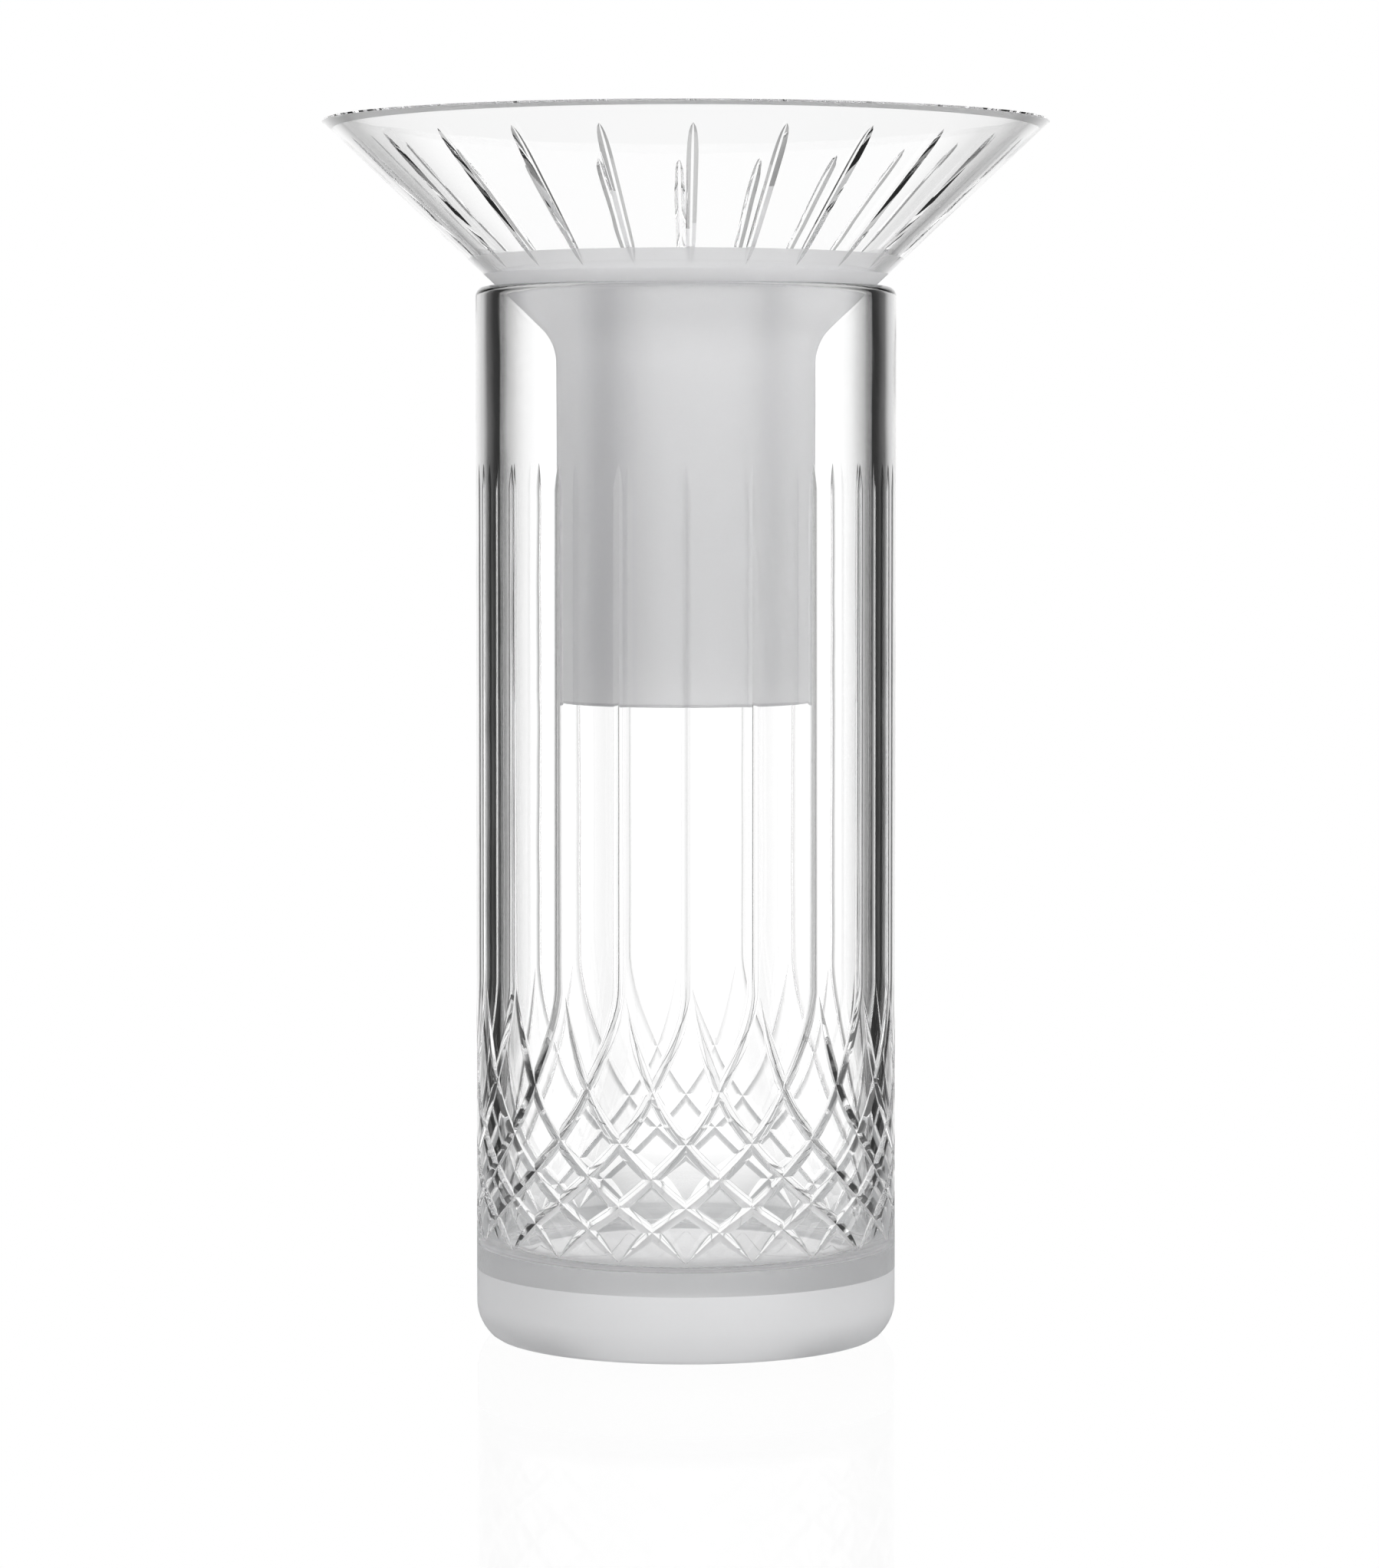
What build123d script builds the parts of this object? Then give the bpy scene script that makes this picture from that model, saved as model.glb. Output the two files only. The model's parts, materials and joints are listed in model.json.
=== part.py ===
from build123d import *
import os
from math import atan, cos, degrees, radians, sin, tan

# Cut crystal vase: a heavy cylinder vessel and a loose flared collar with a stem sleeve.
# Millimetres, +Z up, origin at the centre of the base.

# Vessel
VESSEL_R = 61.3
VESSEL_H = 306.4
WALL = 6.95
FLOOR_Z = 25.5
FLOOR_CORNER_R = 5.0
RIM_OUTER_R = 3.0
RIM_INNER_R = 2.0
FOOT_ARC_R = 12.8
FOOT_ARC_TOP_Z = 10.0
FOOT_BEVEL = 0.8

# Wheel cuts in the vessel
FLUTES = 20
FLUTE_TOP_Z = 255.0
CROSSING_Z = (105.0, 78.0, 63.1, 53.2, 45.0, 38.1, 29.4)
CROSSING_STEP = 9.0
SECOND_CUT_START = 2.0
CUT_RATIO = 2.6
FLUTE_DEPTH = 0.58
CURVE_DEPTH = 0.68
CURVE_STATIONS = 13
CUTTER_REACH = 4.0
OUTSIDE = -0.02

# Collar
COLLAR_TOP_Z = 354.4
COLLAR_RIM_R = 106.0
COLLAR_WALL = 3.8
SLEEVE_R = 37.8
SLEEVE_END_Z = 185.5
SLEEVE_BEVEL = 0.9
SHOULDER_R = 14.0
RIM_BEVEL = 0.5
SEAT_GAP = 0.3

# Wedge cuts in the flare
WEDGES = 24
WEDGE_TURN = 1.2
WEDGE_TOP_Z = 348.4
WEDGE_END_Z = 310.8
WEDGE_DEPTH = 0.75
WEDGE_RATIO = 1.7
WEDGE_LAND = 0.5

os.makedirs("parts", exist_ok=True)


def radial(azimuth):
    """Unit vector pointing out of the axis at an azimuth in degrees."""
    return Vector(cos(radians(azimuth)), sin(radians(azimuth)), 0)


def on_cylinder(azimuth, z):
    """Point on the vessel's outside."""
    return radial(azimuth) * VESSEL_R + Vector(0, 0, z)


def triangle(a, b, c):
    return Face(Wire.make_polygon([a, b, c], close=True))


def groove(points, normals, depths, ratio, land):
    """What a wheel takes away along a line of surface points.

    The wheel's edge is a V of the given half width per depth, with a flat land at its tip.
    """
    sections = []
    for i, point in enumerate(points):
        before = points[max(i - 1, 0)]
        after = points[min(i + 1, len(points) - 1)]
        across = normals[i].cross(after - before).normalized()
        bottom = point - normals[i] * depths[i]
        top = bottom + normals[i] * CUTTER_REACH
        half = land * max(depths[i], 0) + 0.02
        wide = across * (half + CUTTER_REACH * ratio)
        narrow = across * half
        sections.append((bottom - narrow, bottom + narrow, top + wide, top - wide))
    faces = []
    for a, b, c, d in (sections[0], sections[-1]):
        faces += [triangle(a, b, c), triangle(a, c, d)]
    for a, b in zip(sections, sections[1:]):
        for i in range(4):
            j = (i + 1) % 4
            faces.append(triangle(a[i], a[j], b[j]))
            faces.append(triangle(a[i], b[j], b[i]))
    return Solid(Shell(faces))


def vessel_cut(stations):
    """Cut through (azimuth, z, depth) stations on the vessel."""
    points = [on_cylinder(azimuth, z) for azimuth, z, _ in stations]
    normals = [radial(azimuth) for azimuth, _, _ in stations]
    return groove(points, normals, [depth for _, _, depth in stations], CUT_RATIO, 0)


def curve_stations(start, side, lead):
    """The curved run from below a flute down to its tip above the foot."""
    marks = [(CROSSING_STEP * i, z) for i, z in enumerate(CROSSING_Z)]
    marks[0] = (lead, CROSSING_Z[0])
    path = Spline(*marks, tangents=[(0.1 * lead, -1), (1, -0.9)])
    stations = []
    for i in range(CURVE_STATIONS):
        spot = path.position_at(i / (CURVE_STATIONS - 1))
        stations.append([start + side * spot.X, spot.Y, CURVE_DEPTH])
    stations[-1][2] = OUTSIDE
    return stations


def vessel_cutters():
    """Each flute turns into a curve to one side, and a second curve starts beside it."""
    cutters = []
    for i in range(FLUTES):
        azimuth = -90 + i * 360 / FLUTES
        flute = [
            (azimuth, FLUTE_TOP_Z, OUTSIDE),
            (azimuth, FLUTE_TOP_Z - 2.4, 0.5 * FLUTE_DEPTH),
            (azimuth, FLUTE_TOP_Z - 7, FLUTE_DEPTH),
        ]
        cutters.append(vessel_cut(flute + curve_stations(azimuth, -1, 0)))
        second = curve_stations(azimuth, 1, SECOND_CUT_START)
        second[0][2] = OUTSIDE
        cutters.append(vessel_cut(second))
    return cutters


def make_vessel():
    """Thick cylinder with a solid base, a melted rim and a rounded foot."""
    inner_r = VESSEL_R - WALL
    arc_start = (VESSEL_R, FOOT_ARC_TOP_Z)
    arc_mid_angle = radians(-25)
    arc_x = VESSEL_R - FOOT_ARC_R
    arc_mid = (
        arc_x + FOOT_ARC_R * cos(arc_mid_angle),
        FOOT_ARC_TOP_Z + FOOT_ARC_R * sin(arc_mid_angle),
    )
    arc_end_x = arc_x + (FOOT_ARC_R**2 - (FOOT_ARC_TOP_Z - FOOT_BEVEL) ** 2) ** 0.5
    arc_end = (arc_end_x, FOOT_BEVEL)
    bevel_end = (arc_end_x - 1.6 * FOOT_BEVEL, 0)
    outline = [
        Line((0, FLOOR_Z), (0, 0)),
        Line((0, 0), bevel_end),
        Line(bevel_end, arc_end),
        ThreePointArc(arc_end, arc_mid, arc_start),
        Line(arc_start, (VESSEL_R, VESSEL_H)),
        Line((VESSEL_R, VESSEL_H), (inner_r, VESSEL_H)),
        Line((inner_r, VESSEL_H), (inner_r, FLOOR_Z)),
        Line((inner_r, FLOOR_Z), (0, FLOOR_Z)),
    ]
    profile = make_face(Plane.XZ * Curve(children=outline))
    body = revolve(profile, Axis.Z)
    rings = body.edges().filter_by(GeomType.CIRCLE)
    top = rings.group_by(Axis.Z)[-1].sort_by(SortBy.RADIUS)
    body = fillet(top[-1], RIM_OUTER_R)
    rings = body.edges().filter_by(GeomType.CIRCLE)
    inner = [e for e in rings if abs(e.radius - inner_r) < 0.01]
    body = fillet([e for e in inner if e.center().Z > 200], RIM_INNER_R)
    rings = body.edges().filter_by(GeomType.CIRCLE)
    inner = [e for e in rings if abs(e.radius - inner_r) < 0.01]
    body = fillet([e for e in inner if e.center().Z < 100], FLOOR_CORNER_R)
    return body - vessel_cutters()


def flare_line():
    """A point under the seat and the flare's slope (radius per height)."""
    centre_r = VESSEL_R - WALL + RIM_INNER_R
    centre_z = VESSEL_H - RIM_INNER_R
    off = RIM_INNER_R + SEAT_GAP
    slope = 1.0
    for _ in range(20):
        lean = atan(slope)
        seat_r = centre_r - off * cos(lean)
        seat_z = centre_z + off * sin(lean)
        slope = (COLLAR_RIM_R - seat_r) / (COLLAR_TOP_Z - seat_z)
    return seat_r, seat_z, slope


SEAT_R, SEAT_Z, SLOPE = flare_line()
LEAN = degrees(atan(SLOPE))


def flare_r(z):
    """Outside radius of the flare at a height."""
    return SEAT_R + (z - SEAT_Z) * SLOPE


def wedge_cut(azimuth):
    """Long cut along the flare's outside, pointed at both ends."""
    shape = ((0, 0), (0.13, 0.92), (0.28, 1.0), (0.6, 0.93), (0.86, 0.84), (1, 0))
    points = []
    normals = []
    depths = []
    for along, share in shape:
        z = WEDGE_TOP_Z + (WEDGE_END_Z - WEDGE_TOP_Z) * along
        points.append(radial(azimuth) * flare_r(z) + Vector(0, 0, z))
        normals.append(radial(azimuth) * cos(radians(LEAN)) + Vector(0, 0, -sin(radians(LEAN))))
        depths.append(share * WEDGE_DEPTH if share > 0 else OUTSIDE)
    return groove(points, normals, depths, WEDGE_RATIO, WEDGE_LAND)


def make_collar():
    """Flare, shoulder and stem sleeve turned as one piece of even thickness."""
    bend_z = SEAT_Z - (SEAT_R - SLEEVE_R) / SLOPE
    lean = radians(LEAN)
    inner_shift = COLLAR_WALL / cos(lean)
    inner_r = SLEEVE_R - COLLAR_WALL
    inner_bend_z = bend_z + (inner_shift - COLLAR_WALL) / SLOPE
    inner_rim_r = COLLAR_RIM_R - inner_shift
    corners = [
        (SLEEVE_R - SLEEVE_BEVEL, SLEEVE_END_Z),
        (SLEEVE_R, SLEEVE_END_Z + SLEEVE_BEVEL),
        (SLEEVE_R, bend_z),
        (COLLAR_RIM_R, COLLAR_TOP_Z - RIM_BEVEL),
        (COLLAR_RIM_R - RIM_BEVEL, COLLAR_TOP_Z),
        (inner_rim_r, COLLAR_TOP_Z),
        (inner_r, inner_bend_z),
        (inner_r, SLEEVE_END_Z + SLEEVE_BEVEL),
        (inner_r + SLEEVE_BEVEL, SLEEVE_END_Z),
    ]
    face = make_face(Plane.XZ * Polyline(*corners, close=True))
    bends = [v for v in face.vertices() if abs(v.Z - bend_z) < 0.01]
    face = fillet(bends, SHOULDER_R)
    bends = [v for v in face.vertices() if abs(v.Z - inner_bend_z) < 0.01]
    face = fillet(bends, SHOULDER_R + COLLAR_WALL)
    body = revolve(face, Axis.Z)
    step = 360 / WEDGES
    return body - [wedge_cut(-90 + WEDGE_TURN + i * step) for i in range(WEDGES)]


def save(solid, name):
    """One closed solid per file, named after its piece."""
    solid = solid.solid()
    solid.label = name
    export_step(solid, f"parts/{name}.step")
    box = solid.bounding_box()
    print(name, round(solid.volume / 1000, 1), "cm3", box.min, box.max, solid.is_valid)


save(make_vessel(), "vessel")
save(make_collar(), "collar_insert")
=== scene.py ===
import json
import math
import bpy
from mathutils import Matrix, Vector

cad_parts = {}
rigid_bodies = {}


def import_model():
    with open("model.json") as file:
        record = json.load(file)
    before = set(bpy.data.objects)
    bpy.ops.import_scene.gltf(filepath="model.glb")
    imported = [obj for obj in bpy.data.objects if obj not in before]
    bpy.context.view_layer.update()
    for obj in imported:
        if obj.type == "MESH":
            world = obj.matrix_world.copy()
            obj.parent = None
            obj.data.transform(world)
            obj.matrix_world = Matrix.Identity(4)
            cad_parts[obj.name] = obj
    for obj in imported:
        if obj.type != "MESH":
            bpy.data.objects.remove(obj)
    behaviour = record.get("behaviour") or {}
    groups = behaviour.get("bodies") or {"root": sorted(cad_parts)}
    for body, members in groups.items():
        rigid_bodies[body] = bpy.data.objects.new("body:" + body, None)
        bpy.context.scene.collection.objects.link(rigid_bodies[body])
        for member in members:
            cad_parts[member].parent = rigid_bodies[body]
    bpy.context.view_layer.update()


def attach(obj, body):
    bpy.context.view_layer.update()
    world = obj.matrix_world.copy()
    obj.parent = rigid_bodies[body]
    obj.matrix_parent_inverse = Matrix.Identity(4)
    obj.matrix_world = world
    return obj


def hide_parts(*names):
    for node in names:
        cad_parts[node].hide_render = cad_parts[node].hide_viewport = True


# A cut crystal vase in two pieces of glass: the heavy vessel, and the loose flared collar whose
# satin sleeve hangs in its mouth. Shapes are worked out in millimetres and made in metres.

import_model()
MM = 0.001

# ---------------------------------------------------------------- sizes, as turned and cut
VESSEL_R = 61.3
VESSEL_H = 306.4
WALL = 6.95
FLOOR_Z = 25.5
FLOOR_CORNER_R = 5.0
RIM_OUTER_R = 3.0
RIM_INNER_R = 2.0
FOOT_ARC_R = 12.8
FOOT_ARC_TOP_Z = 10.0
FOOT_BEVEL = 0.8
SATIN_BAND_TOP = 19.9

FLUTES = 20
FLUTE_TOP_Z = 255.0
CROSSING_Z = (105.0, 78.0, 63.1, 53.2, 45.0, 38.1, 29.4)
CROSSING_STEP = 9.0
SECOND_CUT_START = 2.0
# Section of the wheel's edge from its tip to the surface: half width and height left, per depth.
CUT_SECTION = ((0, 1), (1.3, 0.34), (2.95, 0))
FLUTE_DEPTH = 0.58
CURVE_DEPTH = 0.68

COLLAR_TOP_Z = 354.4
COLLAR_RIM_R = 106.0
COLLAR_WALL = 3.8
SLEEVE_R = 37.8
SLEEVE_END_Z = 185.5
SLEEVE_BEVEL = 0.9
SHOULDER_R = 14.0
RIM_BEVEL = 0.5
RIM_EASE = 0.25
SEAT_GAP = 0.3
SATIN_TOP_OUTSIDE = 310.0
SATIN_TOP_INSIDE = 317.0

WEDGES = 24
WEDGE_TURN = 1.2
WEDGE_TOP_Z = 348.4
WEDGE_END_Z = 310.8
WEDGE_DEPTH = 0.75
WEDGE_SECTION = ((0.5, 1), (2.2, 0))

FRONT = -90.0
TURN_STEPS = 360
CUTTER_REACH = 0.5
JUST_OUTSIDE = -0.02
SHARP_EDGE = 18
WALL_LOOK = 0.998
VESSEL_WALL_SPAN = (20.5, 303)


# ---------------------------------------------------------------- turning
def out_from_axis(azimuth):
    """Unit vector out of the axis at an azimuth in degrees."""
    a = math.radians(azimuth)
    return Vector((math.cos(a), math.sin(a), 0))


def arc(centre, radius, start, end, steps):
    """Points of a profile arc, angles in degrees from the +r direction."""
    points = []
    for i in range(steps + 1):
        a = math.radians(start + (end - start) * i / steps)
        points.append((centre[0] + radius * math.cos(a), centre[1] + radius * math.sin(a)))
    return points


def turned(name, profile, closed):
    """Mesh of revolution of a profile of (radius, height) points, turned about the axis."""
    verts = []
    rings = []
    for r, z in profile:
        if r < 1e-9:
            rings.append([len(verts)] * TURN_STEPS)
            verts.append((0, 0, z * MM))
            continue
        rings.append(list(range(len(verts), len(verts) + TURN_STEPS)))
        for i in range(TURN_STEPS):
            verts.append(out_from_axis(360 * i / TURN_STEPS) * (r * MM) + Vector((0, 0, z * MM)))
    pairs = list(zip(rings, rings[1:]))
    if closed:
        pairs.append((rings[-1], rings[0]))
    faces = []
    for low, high in pairs:
        for i in range(TURN_STEPS):
            j = (i + 1) % TURN_STEPS
            corners = [low[i], low[j], high[j], high[i]]
            face = [v for k, v in enumerate(corners) if v not in corners[:k]]
            faces.append(face)
    mesh = bpy.data.meshes.new(name)
    mesh.from_pydata(verts, [], faces)
    mesh.validate()
    return mesh


# ---------------------------------------------------------------- cutting
def groove(points, normals, depths, section):
    """Mesh of what a wheel takes away along a line of surface points. The section runs from the
    tip out to the surface, as half widths and heights left to go, both per depth of cut."""
    low, high = section[-2], section[-1]
    splay = (high[0] - low[0]) / (low[1] - high[1])
    verts = []
    faces = []
    last = len(points) - 1
    for i, point in enumerate(points):
        along = points[min(i + 1, last)] - points[max(i - 1, 0)]
        across = normals[i].cross(along).normalized()
        size = max(depths[i], 0.03)
        bottom = point - normals[i] * depths[i]
        side = [(width * size + 0.002, (1 - left) * size) for width, left in section]
        side.append((side[-1][0] + splay * CUTTER_REACH, side[-1][1] + CUTTER_REACH))
        ring = [(-side[0][0], side[0][1])] + side + [(-w, h) for w, h in side[:0:-1]]
        verts += [(bottom + across * w + normals[i] * h) * MM for w, h in ring]
    count = len(ring)
    for i in range(last):
        a, b = count * i, count * (i + 1)
        for j in range(count):
            k = (j + 1) % count
            faces.append((a + j, a + k, b + k))
            faces.append((a + j, b + k, b + j))
    faces.append(tuple(range(count))[::-1])
    faces.append(tuple(range(count * last, count * (last + 1))))
    mesh = bpy.data.meshes.new("groove")
    mesh.from_pydata(verts, [], faces)
    return mesh


def cut_away(name, blank, cutters):
    """The blank with every cutter taken away from it."""
    scene = bpy.context.scene
    shop = bpy.data.collections.new(name + "_cutters")
    scene.collection.children.link(shop)
    for i, mesh in enumerate(cutters):
        shop.objects.link(bpy.data.objects.new(f"{name}_cutter_{i}", mesh))
    piece = bpy.data.objects.new(name, blank)
    scene.collection.objects.link(piece)
    cut = piece.modifiers.new("cuts", "BOOLEAN")
    cut.operation = "DIFFERENCE"
    cut.solver = "EXACT"
    cut.operand_type = "COLLECTION"
    cut.collection = shop
    seen = piece.evaluated_get(bpy.context.evaluated_depsgraph_get())
    result = bpy.data.meshes.new_from_object(seen)
    piece.modifiers.clear()
    piece.data = result
    result.name = name
    for tool in list(shop.objects):
        bpy.data.objects.remove(tool)
    bpy.data.collections.remove(shop)
    return piece


# ---------------------------------------------------------------- the vessel
def smooth_run(marks, start, end, count):
    """Points of a smooth curve through marks, with the given end directions."""
    slopes = [Vector(start)]
    for a, b in zip(marks, marks[2:]):
        slopes.append((Vector(b) - Vector(a)) / 2)
    slopes.append(Vector(end))
    points = []
    spans = len(marks) - 1
    for i in range(count):
        at = min(i * spans / (count - 1), spans - 1e-9)
        k = int(at)
        t = at - k
        a, b = Vector(marks[k]), Vector(marks[k + 1])
        h = (2 * t**3 - 3 * t**2 + 1, t**3 - 2 * t**2 + t, 3 * t**2 - 2 * t**3, t**3 - t**2)
        points.append(a * h[0] + slopes[k] * h[1] + b * h[2] + slopes[k + 1] * h[3])
    return points


def curve_stations(start, side, lead):
    """A curved run below a flute, down to its tip above the foot."""
    marks = [(CROSSING_STEP * i, z) for i, z in enumerate(CROSSING_Z)]
    marks[0] = (lead, CROSSING_Z[0])
    run = smooth_run(marks, (3 + lead, -32), (9, -9), 61)
    length = len(run) - 1
    stations = []
    for i, (turn, z) in enumerate(run):
        fade = min(1, (length - i) / 9)
        if lead:
            fade = min(fade, i / 8)
        depth = CURVE_DEPTH * math.sin(fade * math.pi / 2)
        stations.append((start + side * turn, z, depth if fade > 0 else JUST_OUTSIDE))
    return stations


def flute_stations(azimuth):
    """The straight run, from its pointed top down to where it starts to bend."""
    stations = [(azimuth, FLUTE_TOP_Z, JUST_OUTSIDE)]
    for drop in (0.6, 1.4, 2.4, 3.6, 5, 7, 12, 30, 60, 100, 140):
        depth = FLUTE_DEPTH * min(1, (drop / 7) ** 0.7)
        depth += (CURVE_DEPTH - FLUTE_DEPTH) * drop / 150
        stations.append((azimuth, FLUTE_TOP_Z - drop, depth))
    return stations


def vessel_cutters():
    """Every flute runs into a curve to one side; a second curve starts beside it."""
    cutters = []
    for i in range(FLUTES):
        azimuth = FRONT + i * 360 / FLUTES
        runs = [
            flute_stations(azimuth) + curve_stations(azimuth, -1, 0),
            curve_stations(azimuth, 1, SECOND_CUT_START),
        ]
        for run in runs:
            normals = [out_from_axis(a) for a, z, d in run]
            points = [out_from_axis(a) * VESSEL_R + Vector((0, 0, z)) for a, z, d in run]
            cutters.append(groove(points, normals, [d for a, z, d in run], CUT_SECTION))
    return cutters


def vessel_profile():
    """Underside, rounded foot, outside, melted rim, inside and cavity floor."""
    foot_x = VESSEL_R - FOOT_ARC_R
    low = math.degrees(math.asin((FOOT_ARC_TOP_Z - FOOT_BEVEL) / FOOT_ARC_R))
    foot = arc((foot_x, FOOT_ARC_TOP_Z), FOOT_ARC_R, -low, 0, 14)
    ground_r = foot[0][0] - 1.6 * FOOT_BEVEL
    inner_r = VESSEL_R - WALL
    rim_out = arc((VESSEL_R - RIM_OUTER_R, VESSEL_H - RIM_OUTER_R), RIM_OUTER_R, 0, 90, 14)
    rim_in = arc((inner_r + RIM_INNER_R, VESSEL_H - RIM_INNER_R), RIM_INNER_R, 90, 180, 12)
    corner_c = (inner_r - FLOOR_CORNER_R, FLOOR_Z + FLOOR_CORNER_R)
    corner = arc(corner_c, FLOOR_CORNER_R, 0, -90, 14)
    points = [(0, 0), (20, 0), (ground_r - 0.3, 0), (ground_r, 0)]
    points += foot
    points += [(VESSEL_R, FOOT_ARC_TOP_Z + 0.4), (VESSEL_R, SATIN_BAND_TOP), (VESSEL_R, 24)]
    points += [(VESSEL_R, VESSEL_H - RIM_OUTER_R - 0.4)] + rim_out
    points += [(VESSEL_R - RIM_OUTER_R - 0.3, VESSEL_H), (inner_r + RIM_INNER_R + 0.3, VESSEL_H)]
    points += rim_in + [(inner_r, VESSEL_H - RIM_INNER_R - 0.4)]
    points += [(inner_r, FLOOR_Z + FLOOR_CORNER_R + 0.5)] + corner
    points += [(inner_r - FLOOR_CORNER_R - 0.5, FLOOR_Z), (20, FLOOR_Z), (0, FLOOR_Z)]
    return points


# ---------------------------------------------------------------- the collar
def flare_line():
    """Seat point and slope of the flare's outside, clear of the vessel's rim."""
    centre_r = VESSEL_R - WALL + RIM_INNER_R
    centre_z = VESSEL_H - RIM_INNER_R
    off = RIM_INNER_R + SEAT_GAP
    slope = 1.0
    for _ in range(20):
        lean = math.atan(slope)
        seat_r = centre_r - off * math.cos(lean)
        seat_z = centre_z + off * math.sin(lean)
        slope = (COLLAR_RIM_R - seat_r) / (COLLAR_TOP_Z - seat_z)
    return seat_r, seat_z, slope


SEAT_R, SEAT_Z, SLOPE = flare_line()
LEAN = math.atan(SLOPE)


def flare_r(z):
    """Outside radius of the flare at a height."""
    return SEAT_R + (z - SEAT_Z) * SLOPE


def bend(corner_r, corner_z, radius, sign):
    """Arc that rounds the corner between the sleeve and the flare."""
    reach = radius * math.tan(LEAN / 2)
    centre = (corner_r + radius, corner_z - reach)
    return arc(centre, radius, 180, 180 - math.degrees(LEAN), 16)[::sign]


def collar_profile():
    """Outside of sleeve, shoulder and flare, then back down the inside."""
    shift = COLLAR_WALL / math.cos(LEAN)
    bend_z = SEAT_Z - (SEAT_R - SLEEVE_R) / SLOPE
    inner_r = SLEEVE_R - COLLAR_WALL
    inner_bend_z = bend_z + (shift - COLLAR_WALL) / SLOPE
    rim_in = COLLAR_RIM_R - shift
    outside_bend = bend(SLEEVE_R, bend_z, SHOULDER_R, 1)
    inside_bend = bend(inner_r, inner_bend_z, SHOULDER_R + COLLAR_WALL, -1)
    low = SLEEVE_END_Z
    points = [(SLEEVE_R - SLEEVE_BEVEL, low), (SLEEVE_R, low + SLEEVE_BEVEL)]
    points += [(SLEEVE_R, low + SLEEVE_BEVEL + 0.3), (SLEEVE_R, outside_bend[0][1] - 0.5)]
    points += outside_bend
    for z in (SEAT_Z, SATIN_TOP_OUTSIDE, COLLAR_TOP_Z - RIM_BEVEL - 0.4):
        points.append((flare_r(z), z))
    points.append((COLLAR_RIM_R - RIM_EASE, COLLAR_TOP_Z - RIM_BEVEL))
    points.append((COLLAR_RIM_R - RIM_BEVEL, COLLAR_TOP_Z))
    points += [(rim_in + 0.3, COLLAR_TOP_Z), (rim_in, COLLAR_TOP_Z)]
    points.append((flare_r(COLLAR_TOP_Z - 0.4) - shift, COLLAR_TOP_Z - 0.4))
    points.append((flare_r(SATIN_TOP_INSIDE) - shift, SATIN_TOP_INSIDE))
    points += inside_bend
    points += [(inner_r, inside_bend[-1][1] - 0.5), (inner_r, low + SLEEVE_BEVEL + 0.3)]
    points += [(inner_r, low + SLEEVE_BEVEL), (inner_r + SLEEVE_BEVEL, low)]
    return points


def wedge_cutters():
    """Long V cuts up the flare, pointed at both ends and deepest near the top."""
    shape = ((0, 0), (0.03, 0.45), (0.07, 0.72), (0.13, 0.9), (0.2, 0.98), (0.28, 1.0), (0.45, 0.97))
    shape += ((0.6, 0.93), (0.75, 0.88), (0.86, 0.8), (0.93, 0.55), (0.97, 0.28), (1, 0))
    cutters = []
    for i in range(WEDGES):
        azimuth = FRONT + WEDGE_TURN + i * 360 / WEDGES
        out = out_from_axis(azimuth)
        normal = out * math.cos(LEAN) - Vector((0, 0, math.sin(LEAN)))
        points = []
        for along, share in shape:
            z = WEDGE_TOP_Z + (WEDGE_END_Z - WEDGE_TOP_Z) * along
            points.append(out * flare_r(z) + Vector((0, 0, z)))
        depths = [share * WEDGE_DEPTH if share else JUST_OUTSIDE for along, share in shape]
        cutters.append(groove(points, [normal] * len(points), depths, WEDGE_SECTION))
    return cutters


# ---------------------------------------------------------------- surfaces
def set_surface(piece, wall_lean, wall_span, is_satin):
    """True turned normals on the uncut outside wall, crisp cut edges, and satin faces by place."""
    mesh = piece.data
    mesh.materials.clear()
    mesh.materials.append(CLEAR)
    mesh.materials.append(SATIN)
    mesh.shade_smooth()
    mesh.set_sharp_from_angle(angle=math.radians(SHARP_EDGE))
    normals = [Vector((0, 0, 0))] * len(mesh.loops)
    for face in mesh.polygons:
        centre = face.center / MM
        out = Vector((centre.x, centre.y, 0)).normalized()
        turned_normal = out * math.cos(wall_lean) - Vector((0, 0, math.sin(wall_lean)))
        face.material_index = 1 if is_satin(centre, face.normal) else 0
        on_wall = wall_span[0] < centre.z < wall_span[1]
        if on_wall and face.normal.dot(turned_normal) > WALL_LOOK:
            for k in face.loop_indices:
                v = mesh.vertices[mesh.loops[k].vertex_index].co
                out = Vector((v.x, v.y, 0)).normalized()
                normals[k] = out * math.cos(wall_lean) - Vector((0, 0, math.sin(wall_lean)))
    mesh.normals_split_custom_set(normals)


# ---------------------------------------------------------------- materials
CRYSTAL_IOR = 1.55
BLOWN_WAVE = 28.0
ETCH_GRAIN = 1.11


def linear(hex_colour):
    """Linear colour of an sRGB hex value."""
    parts = [int(hex_colour[i:i + 2], 16) / 255 for i in (1, 3, 5)]
    return tuple(c / 12.92 if c <= 0.04045 else ((c + 0.055) / 1.055) ** 2.4 for c in parts) + (1,)


def node(tree, kind, settings=None, inputs=None):
    """Adds a node with its settings; an input takes a value or another node's output."""
    made = tree.nodes.new(kind)
    for key, value in (settings or {}).items():
        setattr(made, key, value)
    for key, value in (inputs or {}).items():
        if isinstance(value, bpy.types.NodeSocket):
            tree.links.new(value, made.inputs[key])
        else:
            made.inputs[key].default_value = value
    return made


def new_material(name):
    material = bpy.data.materials.new(name)
    material.use_nodes = True
    material.node_tree.nodes.clear()
    return material, material.node_tree


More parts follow.
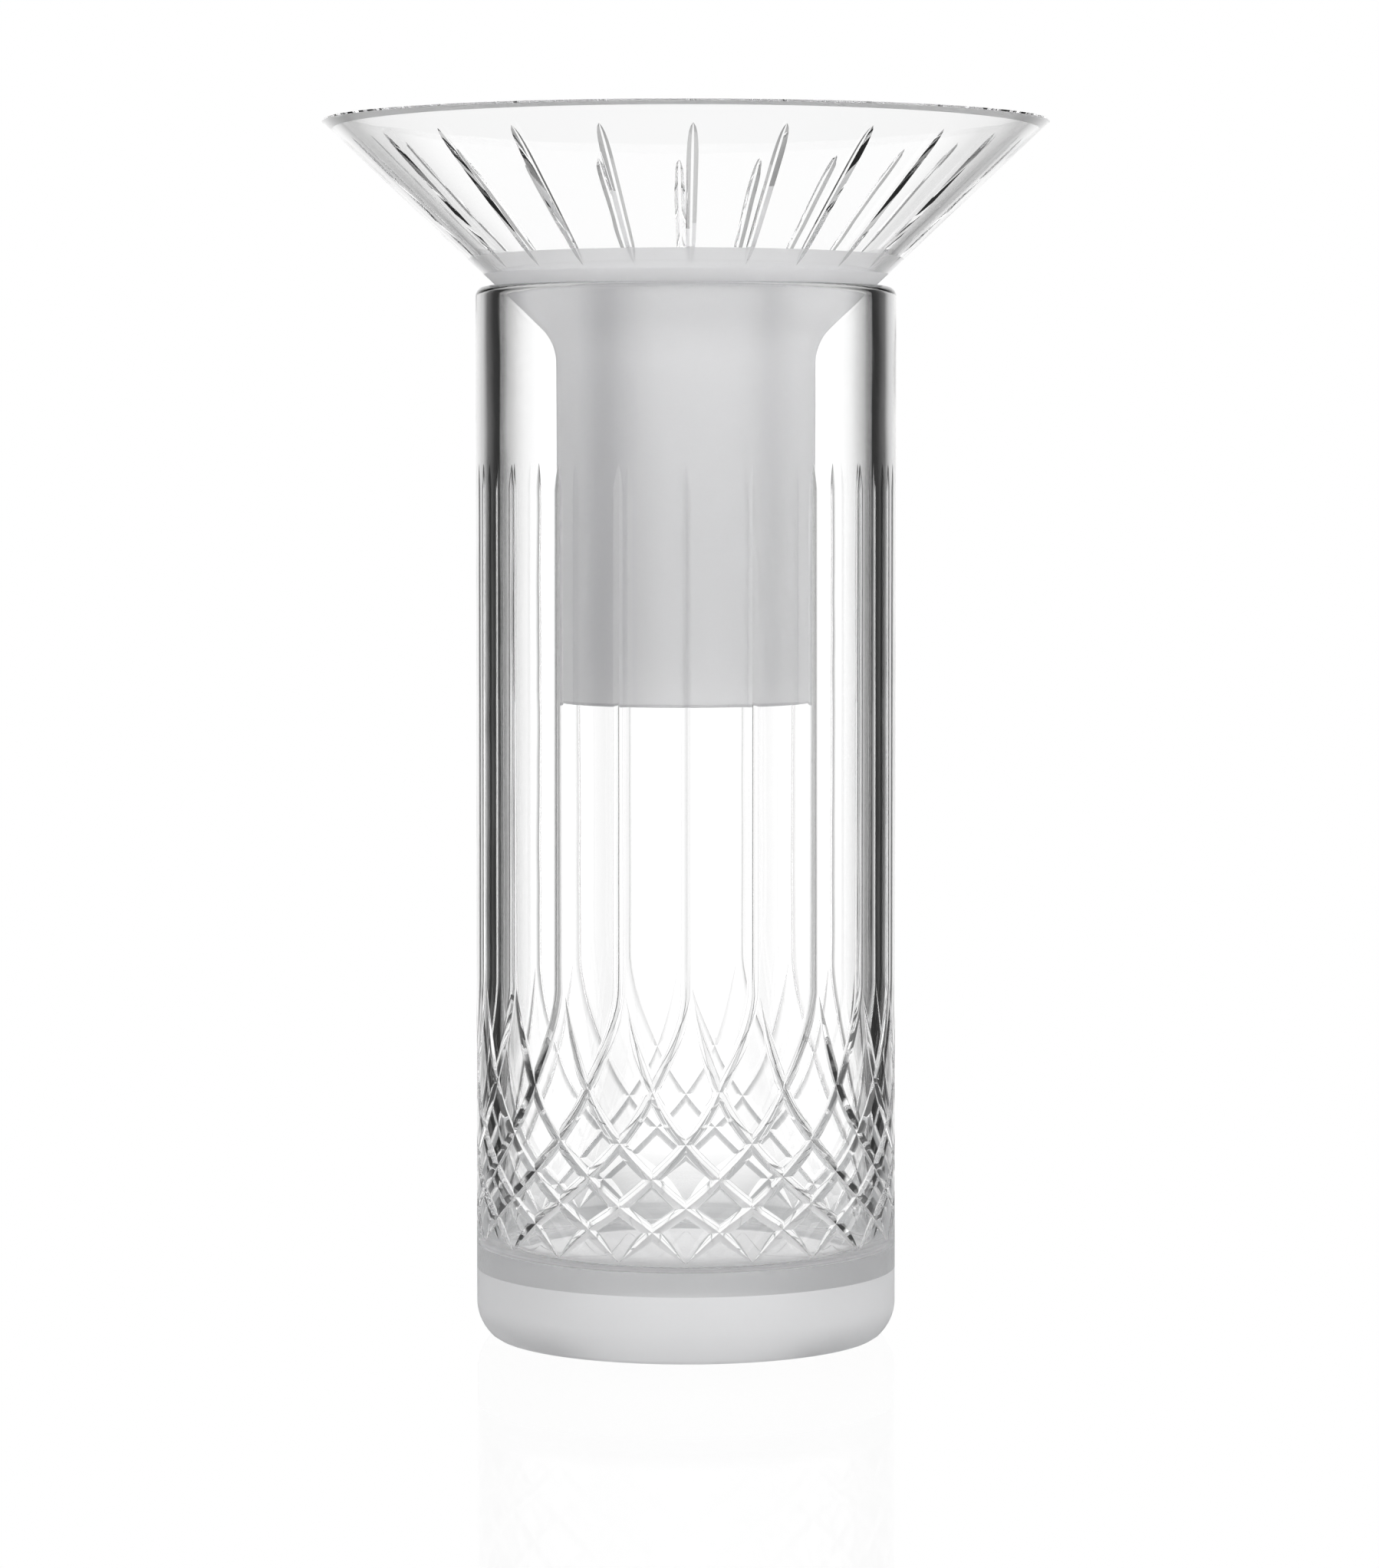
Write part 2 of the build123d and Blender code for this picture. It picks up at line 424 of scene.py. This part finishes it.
def clear_crystal():
    """Blown lead crystal, wheel cut and acid polished: water clear and strongly refracting, with
    the faint long waves that blowing leaves in the wall."""
    material, tree = new_material("clear_lead_crystal_polished")
    place = node(tree, "ShaderNodeTexCoord")
    waves = node(tree, "ShaderNodeTexNoise", inputs={
        "Vector": place.outputs["Object"],
        "Scale": 1 / (BLOWN_WAVE * MM),
        "Detail": 1.0,
    })
    bump = node(tree, "ShaderNodeBump", inputs={
        "Strength": 0.08,
        "Distance": 0.001,
        "Height": waves.outputs["Fac"],
    })
    glass = node(tree, "ShaderNodeBsdfPrincipled", inputs={
        "Base Color": linear("#ffffff"),
        "Roughness": 0.0,
        "IOR": CRYSTAL_IOR,
        "Transmission Weight": 1.0,
        "Normal": bump.outputs["Normal"],
    })
    node(tree, "ShaderNodeOutputMaterial", inputs={"Surface": glass.outputs["BSDF"]})
    return material


def satin_crystal():
    """The same crystal with an acid etched skin: the fine pits blur what is behind it into a soft
    even grey white. Real pits are too fine to show, so the grain is drawn about a millimetre wide."""
    material, tree = new_material("satin_etched_crystal")
    place = node(tree, "ShaderNodeTexCoord")
    grain = node(tree, "ShaderNodeTexNoise", inputs={
        "Vector": place.outputs["Object"],
        "Scale": 1 / (ETCH_GRAIN * MM),
        "Detail": 3.0,
        "Roughness": 0.6,
    })
    rough = node(tree, "ShaderNodeMapRange", inputs={
        "Value": grain.outputs["Fac"],
        "To Min": 0.5,
        "To Max": 0.62,
    })
    bump = node(tree, "ShaderNodeBump", inputs={
        "Strength": 0.12,
        "Distance": 0.0002,
        "Height": grain.outputs["Fac"],
    })
    glass = node(tree, "ShaderNodeBsdfPrincipled", inputs={
        "Base Color": linear("#fbfbfc"),
        "Roughness": rough.outputs["Result"],
        "IOR": CRYSTAL_IOR,
        "Transmission Weight": 0.65,
        "Normal": bump.outputs["Normal"],
    })
    node(tree, "ShaderNodeOutputMaterial", inputs={"Surface": glass.outputs["BSDF"]})
    return material


# Painted shade: the grey pool round the foot, seen only through the glass, fades out between these
# radii.
PAINTED_SHADE_POOL_R = 0.2
PAINTED_SHADE_POOL_END_R = 0.42


def studio_floor():
    """Pale glossy studio sweep. Seen straight it is plain white and mirrors the foot very faintly.
    Through the glass it shows a painted grey pool of shade round the foot, and further out the light
    tent shows."""
    material, tree = new_material("white_sweep_and_painted_shade")
    white = node(tree, "ShaderNodeEmission", inputs={"Color": linear("#ffffff"), "Strength": 1.0})
    gloss = node(tree, "ShaderNodeBsdfGlossy", inputs={"Color": linear("#ffffff"), "Roughness": 0.02})
    front = node(tree, "ShaderNodeMixShader", inputs={
        "Fac": 0.04, 1: white.outputs[0], 2: gloss.outputs[0]})
    place = node(tree, "ShaderNodeTexCoord")
    away = node(tree, "ShaderNodeVectorMath", {"operation": "LENGTH"}, {0: place.outputs["Object"]})
    painted_shade_fade = node(tree, "ShaderNodeMapRange", {"interpolation_type": "SMOOTHSTEP"}, {
        "Value": away.outputs["Value"], "From Min": PAINTED_SHADE_POOL_R, "From Max": PAINTED_SHADE_POOL_END_R})
    # Painted shade: a grey glowing pool on the sweep round the foot, seen only through the glass.
    painted_shade_pool = node(tree, "ShaderNodeEmission", inputs={"Color": linear("#acadae"), "Strength": 1.0})
    tent = node(tree, "ShaderNodeBsdfTransparent")
    behind = node(tree, "ShaderNodeMixShader", inputs={
        "Fac": painted_shade_fade.outputs["Result"], 1: painted_shade_pool.outputs[0], 2: tent.outputs[0]})
    path = node(tree, "ShaderNodeLightPath")
    kept = node(tree, "ShaderNodeMixShader", inputs={
        "Fac": path.outputs["Is Camera Ray"], 1: behind.outputs[0], 2: front.outputs[0]})
    node(tree, "ShaderNodeOutputMaterial", inputs={"Surface": kept.outputs[0]})
    return material


def foot_shade():
    """Painted shade: a grey glowing disc on the part of the sweep that the foot covers, standing for
    the little light that reaches there.
    """
    material, tree = new_material("painted_shade_disc")
    painted_shade_glow = node(tree, "ShaderNodeEmission", inputs={"Color": linear("#b2b2b3"), "Strength": 1.0})
    node(tree, "ShaderNodeOutputMaterial", inputs={"Surface": painted_shade_glow.outputs[0]})
    return material


CLEAR = clear_crystal()
SATIN = satin_crystal()

# ---------------------------------------------------------------- making the two pieces
def vessel_satin(centre, normal):
    """The band round the base and the underside."""
    return centre.z < SATIN_BAND_TOP and normal.z < 0.5


def collar_satin(centre, normal):
    """The sleeve, the shoulder and the ground top of the rim."""
    r = math.hypot(centre.x, centre.y)
    middle = flare_r(centre.z) - COLLAR_WALL / math.cos(LEAN) / 2
    top = SATIN_TOP_OUTSIDE if r > middle else SATIN_TOP_INSIDE
    return centre.z < top or normal.z > 0.95


vessel = cut_away("cut_vessel", turned("vessel_blank", vessel_profile(), False), vessel_cutters())
set_surface(vessel, 0, VESSEL_WALL_SPAN, vessel_satin)
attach(vessel, "vessel")
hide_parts("vessel")

collar = cut_away("flared_collar", turned("collar_blank", collar_profile(), True), wedge_cutters())
set_surface(collar, LEAN, (SATIN_TOP_OUTSIDE, COLLAR_TOP_Z - 1), collar_satin)
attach(collar, "collar_insert")
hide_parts("collar_insert")

# ---------------------------------------------------------------- studio
SWEEP = 1.6
SWEEP_Z = -0.0002
SHADE_R = 0.0545
SHADE_Z = -0.0001
floor_mesh = bpy.data.meshes.new("floor")
corners = [(x * SWEEP, y * SWEEP, SWEEP_Z) for x, y in ((-1, -1), (1, -1), (1, 1), (-1, 1))]
floor_mesh.from_pydata(corners, [], [(0, 1, 2, 3)])
floor = bpy.data.objects.new("floor", floor_mesh)
floor_mesh.materials.append(studio_floor())
bpy.context.scene.collection.objects.link(floor)

# Painted shade: a grey glowing disc just below the foot, seen only through the glass.
shade_mesh = bpy.data.meshes.new("shade_under_foot")
ring = [out_from_axis(i * 5) * SHADE_R + Vector((0, 0, SHADE_Z)) for i in range(72)]
shade_mesh.from_pydata(ring, [], [tuple(range(72))])
shade = bpy.data.objects.new("shade_under_foot", shade_mesh)
shade_mesh.materials.append(foot_shade())
bpy.context.scene.collection.objects.link(shade)


# Front and side boxes: azimuth from straight behind, where each fades out, where it is full, level.
BOXES = ((172, 55, 8, 1.9), (98, 36, 6, 2.2), (-98, 34, 6, 1.7))


def studio_light():
    """White panel behind, a soft box at each side, a broad one in front, one above and a little
    light back up from the table. The dark gaps between them draw the edges of the glass. Seen
    straight, it is plain white all round."""
    world = bpy.data.worlds.new("studio")
    world.use_nodes = True
    tree = world.node_tree
    tree.nodes.clear()
    way = node(tree, "ShaderNodeTexCoord")
    parts = node(tree, "ShaderNodeSeparateXYZ", inputs={"Vector": way.outputs["Generated"]})
    turn = node(tree, "ShaderNodeMath", {"operation": "ARCTAN2"},
                {0: parts.outputs["X"], 1: parts.outputs["Y"]})

    def lobe(towards, start, end, level):
        """Soft upright band of light round an azimuth from straight behind."""
        off = node(tree, "ShaderNodeMath", {"operation": "SUBTRACT"},
                   {0: turn.outputs[0], 1: math.radians(towards)})
        near = node(tree, "ShaderNodeMath", {"operation": "COSINE"}, {0: off.outputs[0]})
        return node(tree, "ShaderNodeMapRange", {"interpolation_type": "SMOOTHSTEP"}, {
            "Value": near.outputs[0], "From Min": math.cos(math.radians(start)),
            "From Max": math.cos(math.radians(end)), "To Min": 0.0, "To Max": level})

    around = lobe(0, 31, 8, 1.0)
    for towards, start, end, level in BOXES:
        other = lobe(towards, start, end, level)
        around = node(tree, "ShaderNodeMath", {"operation": "ADD"},
                      {0: around.outputs[0], 1: other.outputs[0]})
    low = node(tree, "ShaderNodeMapRange", {"interpolation_type": "SMOOTHSTEP"}, {
        "Value": parts.outputs["Z"], "From Min": -0.4, "From Max": -0.1,
        "To Min": 0.4, "To Max": 1.0})
    boxes = node(tree, "ShaderNodeMath", {"operation": "MULTIPLY"},
                 {0: around.outputs[0], 1: low.outputs[0]})
    roof = node(tree, "ShaderNodeMapRange", {"interpolation_type": "SMOOTHSTEP"}, {
        "Value": parts.outputs["Z"], "From Min": 0.35, "From Max": 0.7,
        "To Min": 0.03, "To Max": 1.45})
    table = node(tree, "ShaderNodeMapRange", {"interpolation_type": "SMOOTHSTEP"}, {
        "Value": parts.outputs["Z"], "From Min": -0.5, "From Max": -0.28,
        "To Min": 0.5, "To Max": 0.0})
    ends = node(tree, "ShaderNodeMath", {"operation": "ADD"},
                {0: roof.outputs[0], 1: table.outputs[0]})
    lit = node(tree, "ShaderNodeMath", {"operation": "MAXIMUM"},
               {0: boxes.outputs[0], 1: ends.outputs[0]})
    seen = node(tree, "ShaderNodeLightPath")
    final = node(tree, "ShaderNodeMix", {"data_type": "FLOAT"}, {
        "Factor": seen.outputs["Is Camera Ray"], "A": lit.outputs[0], "B": 1.0})
    light = node(tree, "ShaderNodeBackground", inputs={
        "Color": linear("#ffffff"), "Strength": final.outputs["Result"]})
    node(tree, "ShaderNodeOutputWorld", inputs={"Surface": light.outputs[0]})
    bpy.context.scene.world = world


studio_light()


# ---------------------------------------------------------------- camera
EYE_BACK = 1551.4
EYE_HEIGHT = 263.56
AXIS_LEFT = 1.05
TILT_DOWN = 2.592
LENS = 121.96
SHIFT = -0.07
camera = bpy.data.cameras.new("camera")
camera.sensor_fit = "AUTO"
camera.sensor_width = 36.0
camera.lens = LENS
camera.shift_y = SHIFT
camera.clip_end = 100
eye = bpy.data.objects.new("camera", camera)
eye.location = (AXIS_LEFT * MM, -EYE_BACK * MM, EYE_HEIGHT * MM)
eye.rotation_euler = (math.radians(90 - TILT_DOWN), 0, 0)
bpy.context.scene.collection.objects.link(eye)
bpy.context.scene.camera = eye

view = bpy.context.scene.view_settings
view.view_transform = "Standard"
cycles = bpy.context.scene.cycles
cycles.max_bounces = 32
cycles.transmission_bounces = 32
cycles.glossy_bounces = 16
